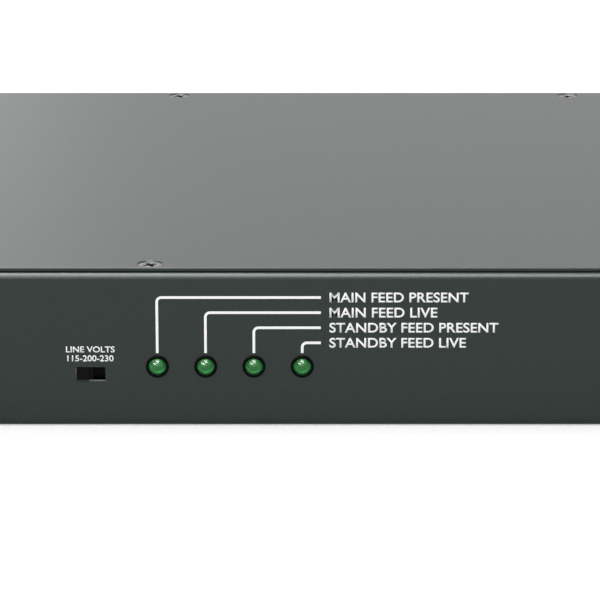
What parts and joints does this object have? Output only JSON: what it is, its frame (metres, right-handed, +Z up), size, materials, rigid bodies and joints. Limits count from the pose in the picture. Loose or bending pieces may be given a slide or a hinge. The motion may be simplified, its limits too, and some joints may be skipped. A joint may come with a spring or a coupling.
{
  "type": "rack static transfer switch",
  "caption": "One-unit rack static transfer switch with rack ears, green indicator lamps, a recessed slide selector, two power inlets and a row of outlets.",
  "frame": {"origin": "middle of the four rack slots, on the rear face of the rack ears", "axes": "+X to the right of someone facing the front panel, +Y to the rear of the rack, +Z up"},
  "size_m": [0.4826, 0.2563, 0.0436],
  "materials": {
    "case_paint": "fine-textured dark grey powder coat",
    "case_screws": "dark nickel",
    "zinc": "zinc plated",
    "green_lens": "clear green lens",
    "black_plastic": "moulded black",
    "knob_plastic": "moulded black, slightly glossy",
    "white_ink": "screen-printed white",
    "circuit_board": "green solder mask",
    "tinned_brass": "tinned",
    "brass": "plain",
    "button_white": "moulded white",
    "bare_aluminium": "extruded",
    "sheet_plastic": "translucent film",
    "core_steel": "varnished laminations",
    "can_sleeve": "shrunk sleeve",
    "terminal_green": "moulded green",
    "wire_sleeve": "insulation",
    "ribbon_grey": "flat cable"
  },
  "bodies": {
    "chassis": {"chassis_tray": "case_paint", "top_cover": "case_paint", "left_ear": "case_paint", "right_ear": "case_paint", "cover_screws": "case_screws", "side_screws": "case_screws", "ear_screws": "case_screws", "clinch_nuts": "zinc", "board_spacers": "zinc", "indicator_screws": "zinc", "selector_frame": "zinc", "inlet_screws": "zinc", "breaker_nuts": "zinc", "earth_washer": "zinc", "sink_screws": "zinc", "module_screws": "zinc", "board_standoffs": "zinc", "control_screws": "zinc", "lamp_1": "green_lens", "lamp_2": "green_lens", "lamp_3": "green_lens", "lamp_4": "green_lens", "lamp_collar_1": "black_plastic", "lamp_collar_2": "black_plastic", "lamp_collar_3": "black_plastic", "lamp_collar_4": "black_plastic", "selector_body": "black_plastic", "inlet_a": "black_plastic", "inlet_b": "black_plastic", "outlet_1": "black_plastic", "outlet_2": "black_plastic", "outlet_3": "black_plastic", "outlet_4": "black_plastic", "outlet_5": "black_plastic", "outlet_6": "black_plastic", "outlet_cores": "black_plastic", "breaker_a": "black_plastic", "breaker_b": "black_plastic", "thyristor_module_a": "black_plastic", "thyristor_module_b": "black_plastic", "logic_chips": "black_plastic", "ribbon_plugs": "black_plastic", "panel_print": "white_ink", "indicator_board": "circuit_board", "control_board": "circuit_board", "inlet_pins": "tinned_brass", "outlet_contacts": "tinned_brass", "earth_stud": "brass", "earth_nut": "brass", "heat_sink": "bare_aluminium", "insulating_sheet": "sheet_plastic", "transformer_a": "core_steel", "transformer_b": "core_steel", "capacitors": "can_sleeve", "terminal_block": "terminal_green", "power_wires": "wire_sleeve", "ribbon_cable": "ribbon_grey"},
    "selector": {"selector_slider": "knob_plastic"},
    "breaker_a_button": {"breaker_button_a": "button_white"},
    "breaker_b_button": {"breaker_button_b": "button_white"}
  },
  "joints": [
    {"name": "selector_slide", "type": "slide", "parent": "chassis", "child": "selector", "axis": [1, 0, 0], "range_m": [0, 0.0042]},
    {"name": "breaker_a_reset", "type": "slide", "parent": "chassis", "child": "breaker_a_button", "axis": [0, 1, 0], "range_m": [0, 0.004]},
    {"name": "breaker_b_reset", "type": "slide", "parent": "chassis", "child": "breaker_b_button", "axis": [0, 1, 0], "range_m": [0, 0.004]}
  ]
}
